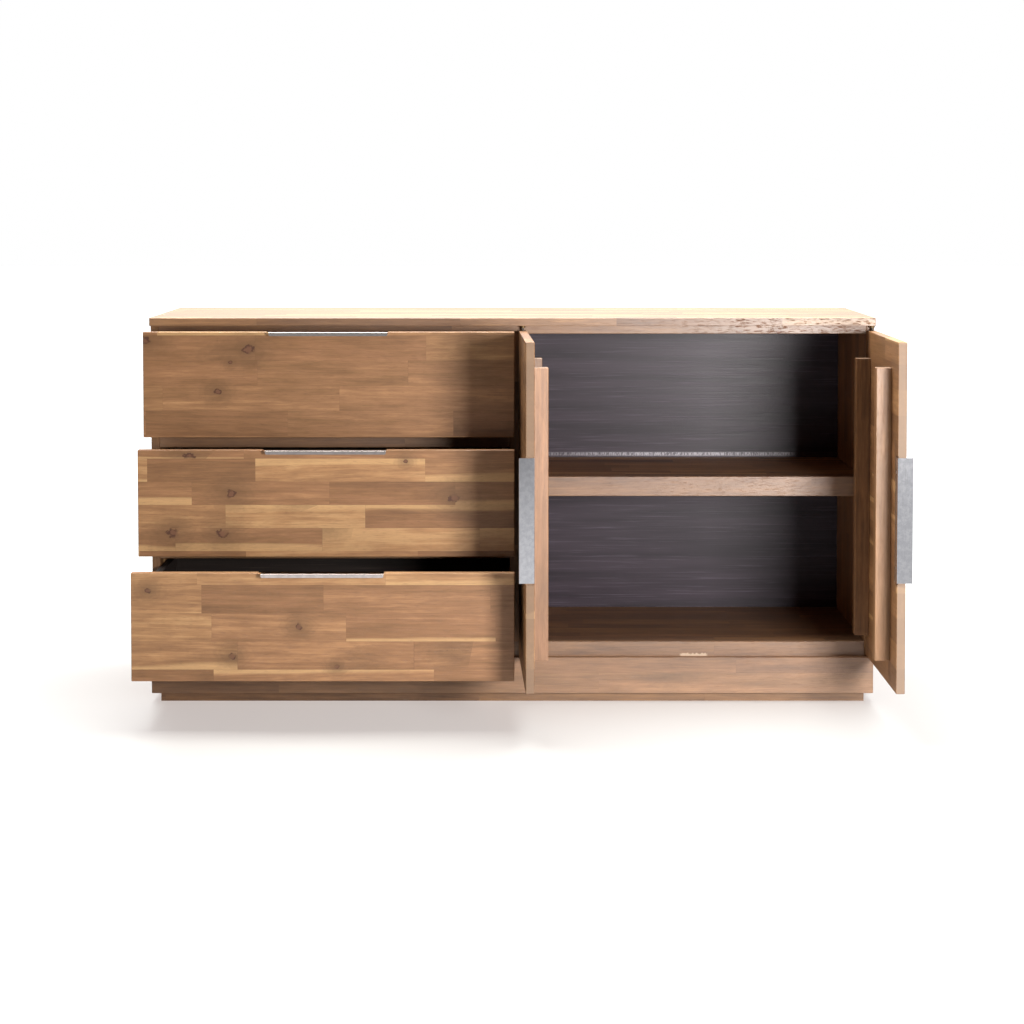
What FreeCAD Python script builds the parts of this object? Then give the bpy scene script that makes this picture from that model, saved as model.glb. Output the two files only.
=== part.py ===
import FreeCAD, Part
import os
import re
import Sketcher

# A sideboard with three drawers on the left and a two-door cupboard on the right.
# The origin is on the floor, under the middle of the slab. X runs to the right of
# someone facing the front, the front faces -Y, and Z is up. The drawers stand
# pulled out and the doors stand open, as they rest here.

SIZES = {
    # whole piece
    "slab_length": 1600,
    "slab_depth": 450,
    "overall_height": 855,
    "board": 18,
    "arris": 1,
    "front_gap": 2,
    "cut_overrun": 5,
    # base
    "floor_gap": 21,
    "skirt_height": 80,
    "base_lift": 32,
    "rail_width": 44,
    # carcass
    "top_rail_width": 80,
    "partition_thickness": 36,
    "partition_shift": 12,
    "shelf_level": 496,
    "shelf_setback": 45,
    "cleat": 18,
    "cleat_end_gap": 6,
    # drawers
    "front_lift": 4,
    "front_head_gap": 8,
    "front_spacing": 18.5,
    "front_lap": 10,
    "rail_lap": 15,
    "box_back_gap": 19,
    "box_floor_gap": 2,
    "box_drop": 31,
    "box_side": 15,
    "box_play": 2,
    "bottom_thickness": 6,
    "bottom_lift": 10,
    "bottom_slot": 7,
    "runner_thickness": 10,
    "runner_height": 20,
    "runner_play": 0.3,
    "runner_setback": 5,
    "upper_pull": 83,
    "middle_pull": 160,
    "lower_pull": 255,
    # doors
    "door_head_gap": 11,
    "door_lap": 13,
    "door_end_inset": 1,
    "door_meeting_gap": 6,
    "left_door_toe": 13.34,
    "right_door_angle": 90,
    "batten_width": 26,
    "batten_depth": 32,
    "batten_lift": 53,
    "batten_head_gap": 58,
    "batten_hinge_inset": 21,
    "batten_free_inset": 74,
    # pivots
    "corner_clearance": 0.3,
    "door_play": 0.3,
    "pin_radius": 2.5,
    "pin_play": 0.05,
    "pin_grip": 20,
    "bush_radius": 4,
    "bush_play": 0.05,
    "bush_length": 10,
    "bush_floor": 2,
    "flange_radius": 6,
    # handles
    "handle_length": 257,
    "handle_sheet": 2,
    "handle_reach": 14,
    "handle_lip": 8,
    "handle_leg": 22,
    "handle_corner": 3.5,
    "handle_bend": 1.2,
    "door_handle_drop": 4.5,
    "recess_play": 0.5,
    "drawer_recess_spare": 7,
    "door_recess_spare": 3.5,
    "recess_below_leg": 4,
    "recess_corner": 6,
    # handle screws
    "screw_inset": 30,
    "screw_drop": 13,
    "screw_head_radius": 3.4,
    "screw_radius": 1.75,
    "screw_cover": 2,
    "screw_play": 0.05,
}

# Places and sizes worked out from the ones above.
DERIVED = {
    "half_length": "slab_length / 2",
    "half_depth": "slab_depth / 2",
    "inner_end": "half_length - board",
    "slab_bottom": "overall_height - board",
    "front_face": "-half_depth",
    "carcass_front": "front_face + board + front_gap",
    "rail_back": "carcass_front + board",
    "back_front": "half_depth - board",
    "plinth_back_front": "back_front - board",
    "inside_depth": "back_front - rail_back",
    "skirt_top": "floor_gap + skirt_height",
    "base_level": "skirt_top + base_lift",
    "base_bottom": "base_level - board",
    "base_rail_bottom": "base_level - rail_width",
    "top_rail_bottom": "slab_bottom - board",
    "partition_left": "partition_shift - partition_thickness / 2",
    "partition_right": "partition_shift + partition_thickness / 2",
    "shelf_front": "carcass_front + shelf_setback",
    "shelf_bottom": "shelf_level - board",
    "bay_right_length": "inner_end - partition_right",
    "front_bottom": "skirt_top + front_lift",
    "front_height": "(slab_bottom - front_head_gap - front_bottom - 2 * front_spacing) / 3",
    "front_step": "front_height + front_spacing",
    "drawer_front_length": "half_length + partition_left + front_lap",
    "drawer_bay_length": "inner_end + partition_left",
    "box_left": "box_play - inner_end",
    "box_length": "drawer_bay_length - 2 * box_play",
    "box_inner_length": "box_length - 2 * box_side",
    "slot_depth": "runner_thickness - box_play + runner_play",
    "box_depth": "back_front - front_face - board - box_back_gap",
    "box_bottom": "base_level + box_floor_gap - front_bottom",
    "box_height": "front_height - box_drop - box_bottom",
    "slot_bottom": "(box_height - runner_height) / 2 - runner_play",
    "slot_height": "runner_height + 2 * runner_play",
    "slot_top": "slot_bottom + slot_height",
    "bottom_top": "bottom_lift + bottom_thickness",
    "box_inner_height": "box_height - bottom_top",
    "runner_length": "back_front - carcass_front - runner_setback",
    "door_left_edge": "partition_right - door_lap",
    "door_right_edge": "half_length - door_end_inset",
    "door_width": "(door_right_edge - door_left_edge - door_meeting_gap) / 2",
    "door_reach": "door_width - pivot_inset",
    "door_bottom": "front_bottom",
    "door_top": "slab_bottom - door_head_gap",
    "door_height": "door_top - door_bottom",
    "left_door_angle": "acos(left_door_toe / door_reach)",
    "batten_length": "door_height - batten_lift - batten_head_gap",
    "corner_reach": "board / 2 + front_gap - corner_clearance",
    "pivot_inset": "sqrt(corner_reach ^ 2 - board ^ 2 / 4)",
    "pivot_y": "front_face + board / 2",
    "left_pivot_x": "door_left_edge + pivot_inset",
    "right_pivot_x": "door_right_edge - pivot_inset",
    "flange_thickness": "front_lift - door_play",
    "bush_bore": "pin_radius + pin_play",
    "bush_seat": "bush_radius + bush_play",
    "bush_bore_depth": "bush_length - bush_floor",
    "lower_pin_reach": "front_lift + bush_bore_depth - bush_floor",
    "upper_pin_reach": "slab_bottom - door_top + bush_bore_depth - bush_floor",
    "handle_base": "-handle_reach",
    "leg_front": "board - handle_sheet",
    "lip_back": "handle_base + handle_sheet",
    "recess_width": "handle_leg + recess_below_leg",
    "screw_length": "leg_front - screw_cover",
    "screw_hole": "screw_radius + screw_play",
    "screw_mouth": "screw_head_radius + screw_play",
    "door_handle_centre": "door_bottom + door_height / 2 - door_handle_drop",
    "drawer_handle_start": "(drawer_front_length - handle_length) / 2",
}

NOWHERE = ("0", "0", "0")
EDGE_SLACK_SHARE = 1e-6

doc = FreeCAD.newDocument("sideboard")
sheet = doc.addObject("Spreadsheet::Sheet", "sizes")
for row, (alias, value) in enumerate(SIZES.items(), start=1):
    sheet.set(f"A{row}", alias)
    sheet.set(f"B{row}", str(value))
    sheet.setAlias(f"B{row}", alias)
doc.recompute()


# Formulas

def bound(formula):
    """Write a formula's size names as sheet cells, and its derived names in full."""

    def cell(word):
        name = word[0]
        if name in SIZES:
            return f"sizes.{name}"
        if name in DERIVED:
            return f"({bound(DERIVED[name])})"
        return name

    return re.sub(r"[a-z][a-z_]*", cell, formula)


def number(formula):
    """Work a formula out to a plain number."""
    return float(sheet.evalExpression(bound(formula)))


def bind(feature, **formulas):
    """Tie properties of a feature to formulas."""
    for name, formula in formulas.items():
        feature.setExpression(name, bound(formula))


def shift(x, y, z):
    """A placement that only moves."""
    return f"placement(vector({x}; {y}; {z}); rotation(vector(0; 0; 1); 0))"


def turn(axis, angle):
    """A placement that only turns, about one axis through the origin."""
    return f"placement(vector(0; 0; 0); rotation(vector({axis}); {angle}))"


def place(feature, *steps):
    """Tie a feature's placement to a chain of moves and turns, the outermost first."""
    feature.setExpression("Placement", bound(" * ".join(steps)))


ABOUT_X = "1; 0; 0"
ABOUT_Y = "0; 1; 0"
ABOUT_Z = "0; 0; 1"
FACING_BACK = turn(ABOUT_X, "-90")
FACING_FRONT = turn(ABOUT_X, "90")
UPSIDE_DOWN = turn(ABOUT_X, "180")


# Features shared by the pieces

def new_body(label):
    """Start one solid piece."""
    body = doc.addObject("PartDesign::Body", label)
    body.Label = label
    return body


def origin_plane(body, role):
    """Find one of a body's own origin planes."""
    return next(item for item in body.Origin.OriginFeatures if item.Role == role)


def block(body, name, start, size, cut=False):
    """Add a straight block to a body, or cut one from it."""
    kind = "SubtractiveBox" if cut else "AdditiveBox"
    feature = body.newObject(f"PartDesign::{kind}", name)
    bind(feature, Length=size[0], Width=size[1], Height=size[2])
    place(feature, shift(*start))
    return feature


def round_hole(body, name, radius, depth, *steps):
    """Drill a round hole along the local Z of a placement."""
    feature = body.newObject("PartDesign::SubtractiveCylinder", name)
    bind(feature, Radius=radius, Height=depth)
    place(feature, *steps)
    return feature


def bevel(body, name, feature, size="arris"):
    """Take a small bevel off every edge of a feature."""
    doc.recompute()
    chamfer = body.newObject("PartDesign::Chamfer", name)
    chamfer.Base = (feature, [f"Edge{i + 1}" for i in range(len(feature.Shape.Edges))])
    bind(chamfer, Size=size)
    return chamfer


def along(edge, direction):
    """Tell whether a straight edge runs along a direction."""
    run = edge.Vertexes[-1].Point - edge.Vertexes[0].Point
    return run.cross(direction).Length < EDGE_SLACK_SHARE * run.Length


def round_edges(body, name, feature, direction, radius, chosen):
    """Round the straight edges along one direction whose middles pass a test."""
    doc.recompute()
    names = [
        f"Edge{i + 1}"
        for i, edge in enumerate(feature.Shape.Edges)
        if along(edge, direction) and chosen(edge.CenterOfMass)
    ]
    fillet = body.newObject("PartDesign::Fillet", name)
    fillet.Base = (feature, names)
    bind(fillet, Radius=radius)
    return fillet


def outline(body, role, name, corners):
    """Draw a closed outline of straight lines, each corner tied to two formulas."""
    sketch = body.newObject("Sketcher::SketchObject", name)
    sketch.AttachmentSupport = (origin_plane(body, role), [""])
    sketch.MapMode = "FlatFace"
    points = [FreeCAD.Vector(number(x), number(y), 0) for x, y in corners]
    for start, end in zip(points, points[1:] + points[:1]):
        sketch.addGeometry(Part.LineSegment(start, end), False)
    count = len(points)
    for i in range(count):
        sketch.addConstraint(Sketcher.Constraint("Coincident", i, 2, (i + 1) % count, 1))
    for i, (point, formulas) in enumerate(zip(points, corners)):
        for kind, axis, value, formula in (
            ("DistanceX", -2, point.x, formulas[0]),
            ("DistanceY", -1, point.y, formulas[1]),
        ):
            if formula == "0":
                sketch.addConstraint(Sketcher.Constraint("PointOnObject", i, 1, axis))
            else:
                held = Sketcher.Constraint(kind, -1, 1, i, 1, value)
                sketch.setExpression(f"Constraints[{sketch.addConstraint(held)}]", bound(formula))
    return sketch


def pad(body, name, sketch, length, reverse=False):
    """Extrude an outline square to its plane."""
    feature = body.newObject("PartDesign::Pad", name)
    feature.Profile = sketch
    feature.Reversed = reverse
    bind(feature, Length=length)
    return feature


def group(label, members):
    """Keep like pieces together as separate solids under one name."""
    compound = doc.addObject("Part::Compound", label)
    compound.Label = label
    compound.Links = members
    return compound


NODES = []


def keep(feature):
    """List a finished piece for writing out."""
    NODES.append(feature)
    return feature


# Boards

def board(label, start, size, *steps):
    """Make one straight board with softened edges, its low corner at start."""
    body = new_body(label)
    blank = block(body, f"{label}_blank", NOWHERE, size)
    bevel(body, f"{label}_arris", blank)
    place(body, *steps, shift(*start))
    return keep(body)


def plain_board(label, start, size, *steps):
    """Make one square-edged board, for places that hardly show."""
    box = doc.addObject("Part::Box", label)
    box.Label = label
    bind(box, Length=size[0], Width=size[1], Height=size[2])
    place(box, *steps, shift(*start))
    return box


# Carcass

def bush_holes(body, name, left_x, y, z, depth, facing):
    """Drill the two blind seats for a board's pivot bushes."""
    for side, x in (("left", left_x), ("right", f"{left_x} + right_pivot_x - left_pivot_x")):
        round_hole(body, f"{name}_{side}_seat", "bush_seat", depth, shift(x, y, z), facing)


def make_slab():
    """The top, which overhangs the carcass by a front's thickness and gap."""
    slab = board("top_panel", ("-half_length", "front_face", "slab_bottom"),
                 ("slab_length", "slab_depth", "board"))
    bush_holes(slab, "top_panel", "half_length + left_pivot_x", "board / 2", "bush_length",
               "bush_length + cut_overrun", UPSIDE_DOWN)


def make_ends():
    """The two end panels, which stop short of the floor with the skirt."""
    size = ("board", "half_depth - carcass_front", "slab_bottom - floor_gap")
    board("left_side_panel", ("-half_length", "carcass_front", "floor_gap"), size)
    board("right_side_panel", ("inner_end", "carcass_front", "floor_gap"), size)


def make_rails():
    """The flat top rails, the two rails between drawers and the rail under the base."""
    rail_size = ("2 * inner_end", "top_rail_width", "board")
    board("front_top_rail", ("-inner_end", "carcass_front", "top_rail_bottom"), rail_size)
    keep(plain_board("back_top_rail",
                     ("-inner_end", "back_front - top_rail_width", "top_rail_bottom"), rail_size))
    for label, steps_up in (("lower_drawer_rail", "0"), ("upper_drawer_rail", "front_step")):
        board(label,
              ("-inner_end", "carcass_front", f"front_bottom + front_height - rail_lap + {steps_up}"),
              ("drawer_bay_length", "board", "rail_width"))
    board("base_front_rail", ("-inner_end", "carcass_front", "base_rail_bottom"),
          ("2 * inner_end", "board", "rail_width"))


def make_inside():
    """The bottom, the thick partition, the back, and the shelf with its cleats."""
    keep(plain_board("base_panel", ("-inner_end", "rail_back", "base_bottom"),
                     ("2 * inner_end", "inside_depth", "board")))
    board("centre_partition", ("partition_left", "carcass_front", "base_level"),
          ("partition_thickness", "back_front - carcass_front", "top_rail_bottom - base_level"))
    keep(plain_board("back_panel", ("-inner_end", "back_front", "floor_gap"),
                     ("2 * inner_end", "board", "slab_bottom - floor_gap")))
    keep(plain_board("shelf_board", ("partition_right", "shelf_front + board", "shelf_bottom"),
                     ("bay_right_length", "back_front - shelf_front - board", "board")))
    board("shelf_front_lipping", ("partition_right", "shelf_front", "shelf_level - rail_width"),
          ("bay_right_length", "board", "rail_width"))
    cleats = [
        plain_board(f"shelf_cleat_{side}", (x, "shelf_front + board", "shelf_bottom - cleat"),
                    ("cleat", "back_front - shelf_front - board - cleat_end_gap", "cleat"))
        for side, x in (("left", "partition_right"), ("right", "inner_end - cleat"))
    ]
    keep(group("shelf_cleats", cleats))


def make_plinth():
    """The set-back frame that stands on the floor, and the skirt in front of it."""
    keep(plain_board("plinth_front", ("-inner_end", "carcass_front", "0"),
                     ("2 * inner_end", "board", "base_rail_bottom")))
    keep(plain_board("plinth_back", ("-inner_end", "plinth_back_front", "0"),
                     ("2 * inner_end", "board", "base_bottom")))
    for label, x in (
        ("plinth_left", "-inner_end"),
        ("plinth_right", "inner_end - board"),
        ("plinth_cross_rail", "-board / 2"),
    ):
        keep(plain_board(label, (x, "rail_back", "0"),
                         ("board", "plinth_back_front - rail_back", "base_bottom")))
    skirt = board("skirt_front", ("-half_length", "front_face + front_gap", "floor_gap"),
                  ("slab_length", "board", "skirt_height"))
    bush_holes(skirt, "skirt_front", "half_length + left_pivot_x", "board / 2 - front_gap",
               "skirt_height - bush_length", "bush_length + cut_overrun", shift(*NOWHERE))


def make_runners():
    """Three hardwood runners on each side of the drawer bay."""
    for label, x in (
        ("left_runners", "-inner_end"),
        ("right_runners", "partition_left - runner_thickness"),
    ):
        runners = [
            plain_board(
                f"{label}_{level}",
                (x, "carcass_front + runner_setback",
                 f"front_bottom + {lift} + box_bottom + slot_bottom + runner_play"),
                ("runner_thickness", "runner_length", "runner_height"),
            )
            for level, lift in (("lower", "0"), ("middle", "front_step"), ("upper", "2 * front_step"))
        ]
        keep(group(label, runners))


def make_bush(label, x, z, facing):
    """One flanged pivot bush with a blind bore, its flange's seat at the given height."""
    body = new_body(label)
    round_part = "PartDesign::AdditiveCylinder"
    shank = body.newObject(round_part, f"{label}_shank")
    bind(shank, Radius="bush_radius", Height="bush_length")
    place(shank, shift("0", "0", "-bush_length"))
    flange = body.newObject(round_part, f"{label}_flange")
    bind(flange, Radius="flange_radius", Height="flange_thickness")
    round_hole(body, f"{label}_bore", "bush_bore", "bush_bore_depth + flange_thickness",
               shift("0", "0", "-bush_bore_depth"))
    place(body, shift(x, "pivot_y", z), facing)
    return body


def make_bushes():
    """A bush above and below each door."""
    bushes = [
        make_bush(f"pivot_bush_{end}_{side}", f"{side}_pivot_x", z, facing)
        for side in ("left", "right")
        for end, z, facing in (
            ("lower", "skirt_top", shift(*NOWHERE)),
            ("upper", "slab_bottom", UPSIDE_DOWN),
        )
    ]
    keep(group("pivot_bushes", bushes))


# Edge handles. Each lies along the local X, its front board's outer face is at Y zero,
# and the board's edge is at Z zero with the board below it.

def make_handle(label, *steps):
    """A bent metal strip: a plate over the edge, a turned-down lip and a leg behind."""
    body = new_body(label)
    section = outline(body, "YZ_Plane", f"{label}_section", [
        ("handle_base", "-handle_lip"),
        ("handle_base", "0"),
        ("board", "0"),
        ("board", "-handle_leg"),
        ("leg_front", "-handle_leg"),
        ("leg_front", "-handle_sheet"),
        ("lip_back", "-handle_sheet"),
        ("lip_back", "-handle_lip"),
    ])
    strip = pad(body, f"{label}_strip", section, "handle_length")
    bend = round_edges(
        body, f"{label}_bend", strip, FreeCAD.Vector(1, 0, 0), "handle_bend",
        lambda middle: middle.z > -number("handle_sheet") / 2,
    )
    round_edges(
        body, f"{label}_corners", bend, FreeCAD.Vector(0, 1, 0), "handle_corner",
        lambda middle: middle.z < -number("handle_lip") + number("handle_sheet") / 2,
    )
    for end, x in (("first", "screw_inset"), ("second", "handle_length - screw_inset")):
        mouth = body.newObject("PartDesign::SubtractiveCone", f"{label}_{end}_countersink")
        bind(mouth, Radius1="screw_hole", Radius2="screw_mouth", Height="handle_sheet")
        place(mouth, shift(x, "leg_front", "-screw_drop"), FACING_BACK)
    place(body, *steps)
    keep(body)


def make_screws(label, *steps):
    """The two countersunk screws that hold a handle's leg."""
    screws = []
    for end, x in (("first", "screw_inset"), ("second", "handle_length - screw_inset")):
        body = new_body(f"{label}_{end}")
        shank = body.newObject("PartDesign::AdditiveCylinder", f"{label}_{end}_shank")
        bind(shank, Radius="screw_radius", Height="screw_length")
        place(shank, shift("0", "0", "-screw_length"))
        head = body.newObject("PartDesign::AdditiveCone", f"{label}_{end}_head")
        bind(head, Radius1="screw_radius", Radius2="screw_head_radius", Height="handle_sheet")
        place(body, *steps, shift(x, "leg_front", "-screw_drop"), FACING_BACK)
        screws.append(body)
    keep(group(label, screws))


def cut_handle_seat(body, name, length, spare, *steps):
    """Recess a front's edge and back for its handle, and drill for the screws.

    The recess runs past the handle by a play at the low end and a spare at the other.
    """
    start = f"-({spare})"
    for part, y, z, depth, height in (
        ("edge", "-cut_overrun", "-handle_sheet", "board + 2 * cut_overrun",
         "handle_sheet + cut_overrun"),
        ("back", "leg_front", "-recess_width", "handle_sheet + cut_overrun",
         "recess_width + cut_overrun"),
    ):
        feature = body.newObject("PartDesign::SubtractiveBox", f"{name}_{part}_recess")
        bind(feature, Length=length, Width=depth, Height=height)
        place(feature, *steps, shift(start, y, z))
    round_edges(body, f"{name}_recess_corners", feature, FreeCAD.Vector(0, 1, 0),
                "recess_corner", lambda middle: middle.y > number("leg_front"))
    for end, x in (("first", "screw_inset"), ("second", "handle_length - screw_inset")):
        round_hole(body, f"{name}_{end}_pilot", "screw_hole", "screw_length + screw_play",
                   *steps, shift(x, "leg_front - screw_length - screw_play", "-screw_drop"),
                   FACING_BACK)


# Drawers

def box_section(mirrored):
    """Corners of a drawer side's section, with its runner groove and bottom slot."""
    outer = [
        ("0", "0"),
        ("0", "slot_bottom"),
        ("slot_depth", "slot_bottom"),
        ("slot_depth", "slot_top"),
        ("0", "slot_top"),
        ("0", "box_height"),
    ]
    inner = [
        ("box_side", "box_height"),
        ("box_side", "bottom_top"),
        ("box_side - bottom_slot", "bottom_top"),
        ("box_side - bottom_slot", "bottom_lift"),
        ("box_side", "bottom_lift"),
        ("box_side", "0"),
    ]
    corners = outer + inner
    if not mirrored:
        return corners
    return [("0" if x == "box_side" else f"box_side - ({x})", z) for x, z in corners]


def make_drawer_side(label, x, mirrored, *steps):
    """A grooved drawer side, one section run front to back."""
    body = new_body(label)
    section = outline(body, "XZ_Plane", f"{label}_section", box_section(mirrored))
    pad(body, f"{label}_run", section, "box_depth", reverse=True)
    place(body, *steps, shift(x, "0", "0"))
    keep(body)


def make_drawer(name, lift, pull):
    """One drawer: its front, its box in five pieces, its handle and the screws."""
    front_place = shift("-half_length", f"front_face - {pull}", f"front_bottom + {lift}")
    front = new_body(f"{name}_drawer_front")
    blank = block(front, f"{name}_front_blank", NOWHERE,
                  ("drawer_front_length", "board", "front_height"))
    bevel(front, f"{name}_front_arris", blank)
    handle_place = shift("drawer_handle_start", "0", "front_height")
    cut_handle_seat(front, f"{name}_front", "handle_length + drawer_recess_spare + recess_play",
                    "drawer_recess_spare", handle_place)
    place(front, front_place)
    keep(front)
    box_place = shift("box_left", f"front_face + board - {pull}",
                      f"front_bottom + {lift} + box_bottom")
    make_drawer_side(f"{name}_drawer_left", "0", False, box_place)
    make_drawer_side(f"{name}_drawer_right", "box_length - box_side", True, box_place)
    for label, y in (("inner_front", "0"), ("back", "box_depth - box_side")):
        keep(plain_board(f"{name}_drawer_{label}", ("box_side", y, "bottom_top"),
                         ("box_inner_length", "box_side", "box_inner_height"), box_place))
    keep(plain_board(f"{name}_drawer_bottom", ("box_side - bottom_slot", "0", "bottom_lift"),
                     ("box_inner_length + 2 * bottom_slot", "box_depth", "bottom_thickness"),
                     box_place))
    make_handle(f"{name}_drawer_handle", front_place, handle_place)
    make_screws(f"{name}_drawer_screws", front_place, handle_place)


# Doors. A door is laid out from its pivot: local X runs along it towards the free edge
# on the left door and away from it on the right one, and local Z starts at the floor.

def make_door(side, toward_free, turn_sign):
    """One door: its panel, two battens, an edge handle, its screws and two pivot pins."""
    hinge_place = (
        shift(f"{side}_pivot_x", "pivot_y", "0"),
        turn(ABOUT_Z, f"{turn_sign} * {side}_door_angle"),
    )
    panel_low = "-pivot_inset" if toward_free > 0 else "-door_reach"
    panel_start = (panel_low, "-board / 2", "door_bottom")
    panel = new_body(f"{side}_door_panel")
    blank = block(panel, f"{side}_panel_blank", NOWHERE, ("door_width", "board", "door_height"))
    bevel(panel, f"{side}_panel_arris", blank)
    handle_turn = turn(ABOUT_Y, f"{toward_free} * 90")
    handle_place = (
        shift(f"{toward_free} * door_reach", "-board / 2",
              f"door_handle_centre + {toward_free} * handle_length / 2"),
        handle_turn,
    )
    to_panel = shift(f"-({panel_low})", "board / 2", "-door_bottom")
    cut_handle_seat(panel, f"{side}_panel", "handle_length + 2 * door_recess_spare",
                    "door_recess_spare", to_panel, *handle_place)
    pin_x = f"-({panel_low})"
    for end, z in (("lower", "-cut_overrun"), ("upper", "door_height - pin_grip")):
        round_hole(panel, f"{side}_panel_{end}_pin_hole", "bush_bore", "pin_grip + cut_overrun",
                   shift(pin_x, "board / 2", z))
    place(panel, *hinge_place, shift(*panel_start))
    keep(panel)
    for label, inset in (
        ("hinge", "batten_hinge_inset"),
        ("handle", "door_width - batten_free_inset - batten_width"),
    ):
        low = f"{inset} - pivot_inset"
        if toward_free < 0:
            low = f"-({low}) - batten_width"
        board(f"{side}_door_{label}_batten", (low, "board / 2", "door_bottom + batten_lift"),
              ("batten_width", "batten_depth", "batten_length"), *hinge_place)
    make_handle(f"{side}_door_handle", *hinge_place, *handle_place)
    make_screws(f"{side}_door_screws", *hinge_place, *handle_place)
    pins = []
    for end, z, length in (
        ("lower", "door_bottom - lower_pin_reach", "lower_pin_reach + pin_grip"),
        ("upper", "door_top - pin_grip", "upper_pin_reach + pin_grip"),
    ):
        pin = doc.addObject("Part::Cylinder", f"{side}_pin_{end}")
        bind(pin, Radius="pin_radius", Height=length)
        place(pin, *hinge_place, shift("0", "0", z))
        pins.append(pin)
    keep(group(f"{side}_door_pivot_pins", pins))


def check_document():
    """Stop if any feature failed or any piece is empty or unsound."""
    doc.recompute()
    for feature in doc.Objects:
        if "Invalid" in feature.State or "Error" in feature.State:
            raise RuntimeError(f"{feature.Label} failed: {feature.State}")
    for node in NODES:
        if node.Shape.isNull() or not node.Shape.isValid() or not node.Shape.Solids:
            raise RuntimeError(f"{node.Label} has no sound solid")


make_slab()
make_ends()
make_rails()
make_inside()
make_plinth()
make_runners()
make_bushes()
for drawer, level, drawn in (
    ("upper", "2 * front_step", "upper_pull"),
    ("middle", "front_step", "middle_pull"),
    ("lower", "0", "lower_pull"),
):
    make_drawer(drawer, level, drawn)
make_door("left", 1, -1)
make_door("right", -1, 1)
check_document()

os.makedirs("parts", exist_ok=True)
for node in NODES:
    node.Shape.exportStep(f"parts/{node.Label}.step")
print(len(NODES), "pieces written")
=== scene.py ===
import math

import bmesh
import bpy
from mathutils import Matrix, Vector

# The sideboard's looks: oiled acacia glued up from staves, charcoal boards inside, and
# brushed metal edge handles. Lengths are in metres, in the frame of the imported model.

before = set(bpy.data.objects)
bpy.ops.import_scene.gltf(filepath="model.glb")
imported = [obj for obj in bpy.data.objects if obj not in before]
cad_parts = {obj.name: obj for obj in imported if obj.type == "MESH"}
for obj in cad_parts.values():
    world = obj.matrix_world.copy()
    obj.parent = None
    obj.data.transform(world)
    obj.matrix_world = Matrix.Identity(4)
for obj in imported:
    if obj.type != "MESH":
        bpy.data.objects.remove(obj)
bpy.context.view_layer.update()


# Shader nodes in short calls

class Graph:
    """Adds nodes to one tree. A value may be a number, a tuple or another node's output."""

    def __init__(self, tree):
        self.tree = tree
        self.tree.nodes.clear()

    def feed(self, socket, value):
        """Link an output to a socket, or set the socket's own value."""
        if isinstance(value, bpy.types.NodeSocket):
            self.tree.links.new(value, socket)
        else:
            socket.default_value = value

    def add(self, kind, inputs=None, **settings):
        """Add a node, set its properties and feed its inputs by name or number."""
        node = self.tree.nodes.new(f"ShaderNode{kind}")
        for name, value in settings.items():
            setattr(node, name, value)
        for name, value in (inputs or {}).items():
            self.feed(node.inputs[name], value)
        return node

    def math(self, operation, *values):
        """Do one sum and give its result."""
        inputs = dict(enumerate(values))
        return self.add("Math", inputs, operation=operation).outputs[0]

    def ramp(self, value, low, high, bottom=0.0, top=1.0):
        """Take a smooth step from bottom to top as the value goes from low to high."""
        inputs = {"Value": value, "From Min": low, "From Max": high, "To Min": bottom,
                  "To Max": top}
        return self.add("MapRange", inputs, interpolation_type="SMOOTHSTEP").outputs[0]

    def mix(self, share, first, second, blend="MIX"):
        """Mix two colours."""
        return self.add("Mix", {0: share, 6: first, 7: second}, data_type="RGBA",
                        blend_type=blend, clamp_factor=True).outputs[2]

    def mix_numbers(self, share, first, second):
        """Mix two numbers."""
        return self.add("Mix", {0: share, 2: first, 3: second}, data_type="FLOAT").outputs[0]

    def vector(self, x, y, z):
        """Join three numbers into a vector."""
        return self.add("CombineXYZ", {"X": x, "Y": y, "Z": z}).outputs[0]

    def split(self, vector):
        """Split a vector into its three numbers, by the names of the axes."""
        return dict(zip("XYZ", self.add("SeparateXYZ", {0: vector}).outputs))

    def scaled(self, places, scales):
        """Multiply each of three places by its own scale, and join them into a vector."""
        return self.vector(*(self.math("MULTIPLY", place, scale)
                             for place, scale in zip(places, scales)))

    def blend_over(self, cover, share, under, over):
        """Lay a colour over another by a cover from zero to one and a largest share."""
        return self.mix(self.math("MULTIPLY", cover, share), under, over)

    def white_noise(self, dimensions, **inputs):
        """Give a random number and a random colour for a vector."""
        return self.add("TexWhiteNoise", inputs, noise_dimensions=dimensions)

    def noise(self, vector, scale, detail=2.0, roughness=0.5, distortion=0.0):
        """Give smooth noise from zero to one."""
        inputs = {"Vector": vector, "Scale": scale, "Detail": detail, "Roughness": roughness,
                  "Distortion": distortion}
        return self.add("TexNoise", inputs).outputs[0]


def colour(red, green, blue):
    """A colour from its display values, 0 to 255."""
    def linear(value):
        share = value / 255
        return share / 12.92 if share <= 0.04045 else ((share + 0.055) / 1.055) ** 2.4
    return (linear(red), linear(green), linear(blue), 1.0)


def new_material(name):
    """Make a material with its shader and output, and give the graph and the shader."""
    material = bpy.data.materials.new(name)
    material.use_nodes = True
    graph = Graph(material.node_tree)
    shader = graph.add("BsdfPrincipled")
    output = graph.add("OutputMaterial")
    graph.feed(output.inputs["Surface"], shader.outputs[0])
    return material, graph, shader


def bump(graph, shader, height, distance):
    """Raise the surface by a height."""
    node = graph.add("Bump", {"Height": height, "Distance": distance, "Strength": 1.0})
    graph.feed(shader.inputs["Normal"], node.outputs[0])


# Acacia, glued up from staves

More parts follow.
